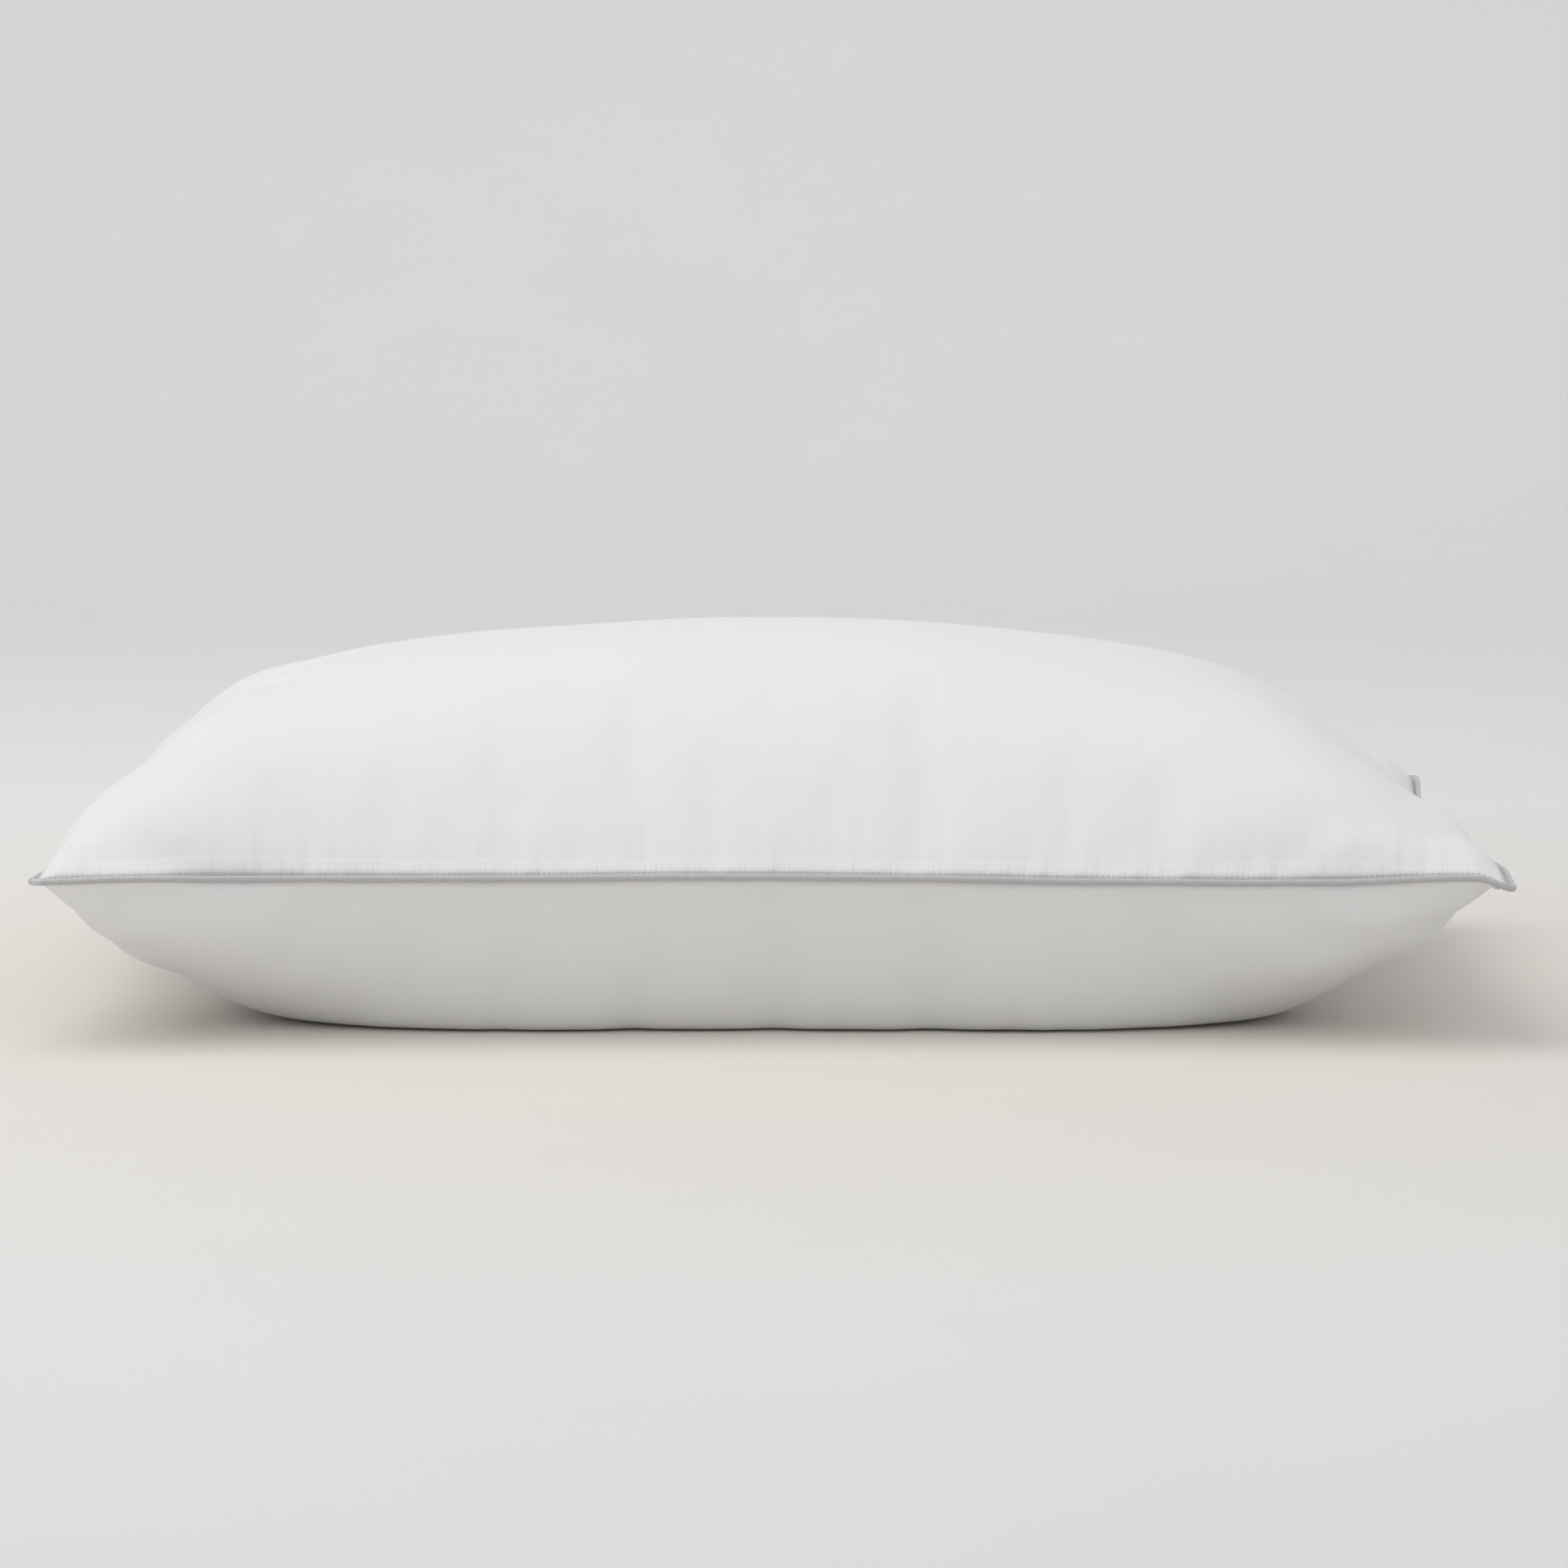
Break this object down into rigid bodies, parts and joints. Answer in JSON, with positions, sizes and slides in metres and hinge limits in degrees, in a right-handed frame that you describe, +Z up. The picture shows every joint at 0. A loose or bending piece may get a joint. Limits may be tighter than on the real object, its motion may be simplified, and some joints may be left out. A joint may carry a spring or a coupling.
{
  "type": "bed pillow",
  "caption": "Rectangular fibre-filled bed pillow: white woven cotton shell in two panels, corded piping along the seam, flat resting underside.",
  "frame": {"origin": "middle of the pillow's outline, on the surface that it lies on", "axes": "+X along the length, +Y across the depth towards the back seam with the label, +Z up through the thickness"},
  "size_m": [0.7398, 0.4798, 0.202],
  "materials": {
    "shell_cotton": "smooth tightly woven white cotton percale with a faint sheen",
    "fibre_fill": "loose matt polyester fibre",
    "piping_satin": "silver grey satin bias tape",
    "filler_cord": "soft twisted cotton cord",
    "sewing_thread": "white spun polyester thread",
    "edge_thread": "pale grey spun polyester thread",
    "label_satin": "blank white woven satin ribbon"
  },
  "bodies": {
    "root": {"top_panel": "shell_cotton", "bottom_panel": "shell_cotton", "filling": "fibre_fill", "piping_tape": "piping_satin", "piping_cord": "filler_cord", "assembly_seam": "sewing_thread", "edge_stitch": "edge_thread", "overlock_stitch": "sewing_thread", "closing_stitch": "sewing_thread", "care_label": "label_satin", "piping_tack": "sewing_thread"}
  },
  "joints": []
}
